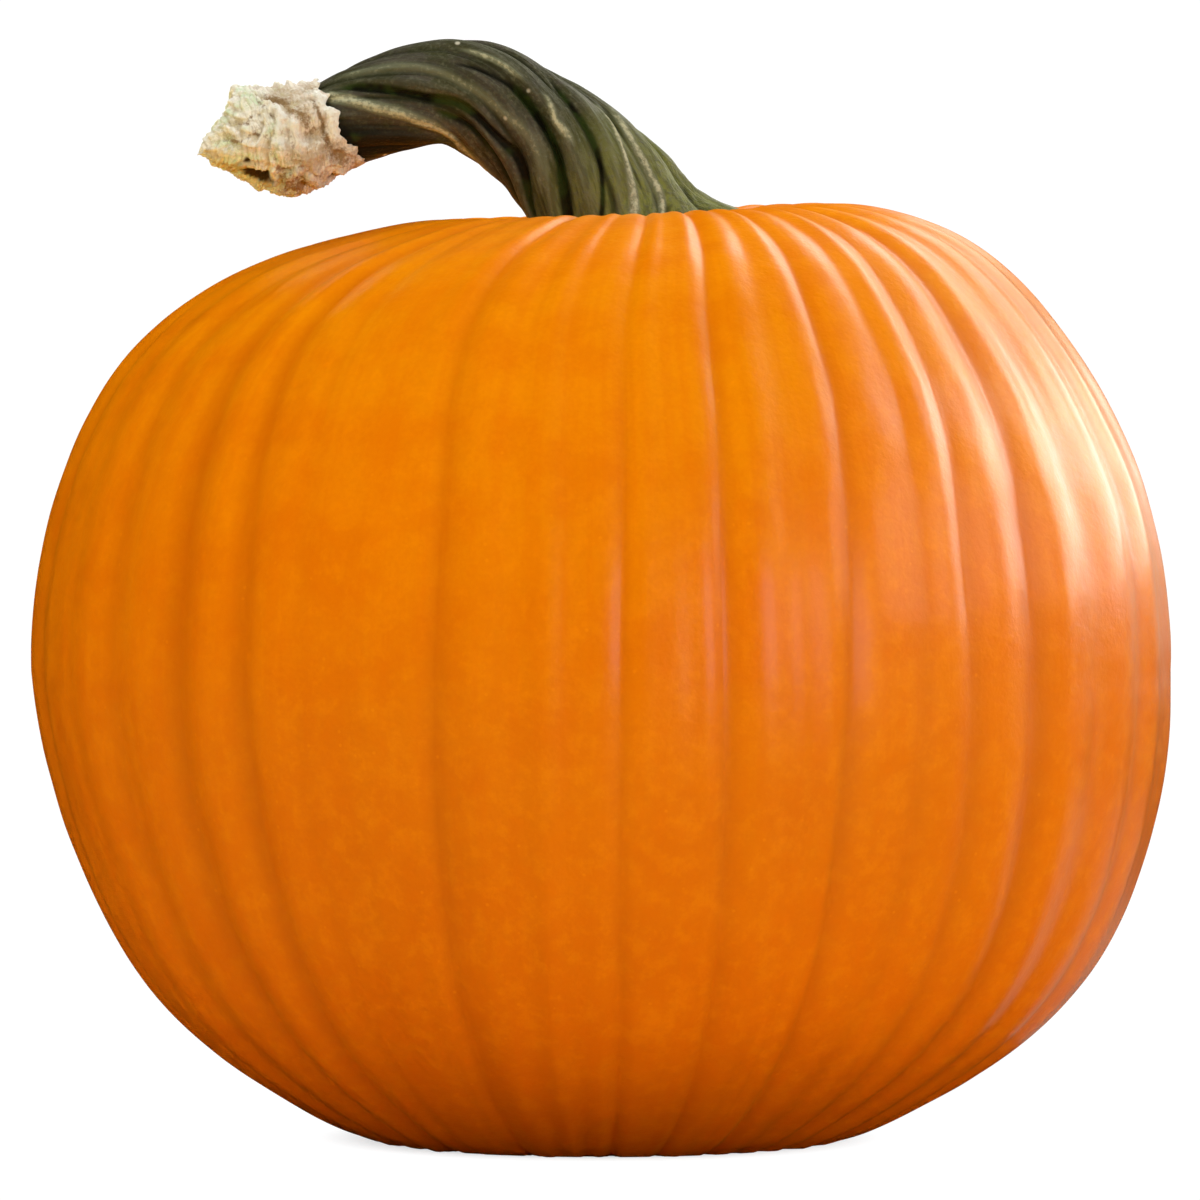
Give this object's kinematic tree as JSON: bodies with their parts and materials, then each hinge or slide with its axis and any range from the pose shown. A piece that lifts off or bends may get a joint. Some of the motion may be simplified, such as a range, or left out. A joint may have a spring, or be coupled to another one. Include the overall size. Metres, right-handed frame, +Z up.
{
  "type": "pumpkin",
  "caption": "Ripe round orange pumpkin with shallow ribs and a bent, twisted green stem, standing on its blossom end.",
  "frame": {"origin": "on the ground, below the middle of the fruit", "axes": "+Z up through the fruit from its blossom end to its stem; the stem bends over towards -X; -Y is the side that faces a viewer"},
  "size_m": [0.2794, 0.2805, 0.2702],
  "materials": {
    "pumpkin_skin": "smooth waxy orange skin, satin gloss, finely mottled",
    "green_stem": "matt dark green stem with pale corky streaks along its ridges",
    "torn_wood": "dry torn fibres, cream to pale green and tan, matt"
  },
  "bodies": {
    "root": {"fruit": "pumpkin_skin", "stem": "green_stem", "stem_end": "torn_wood"}
  },
  "joints": []
}
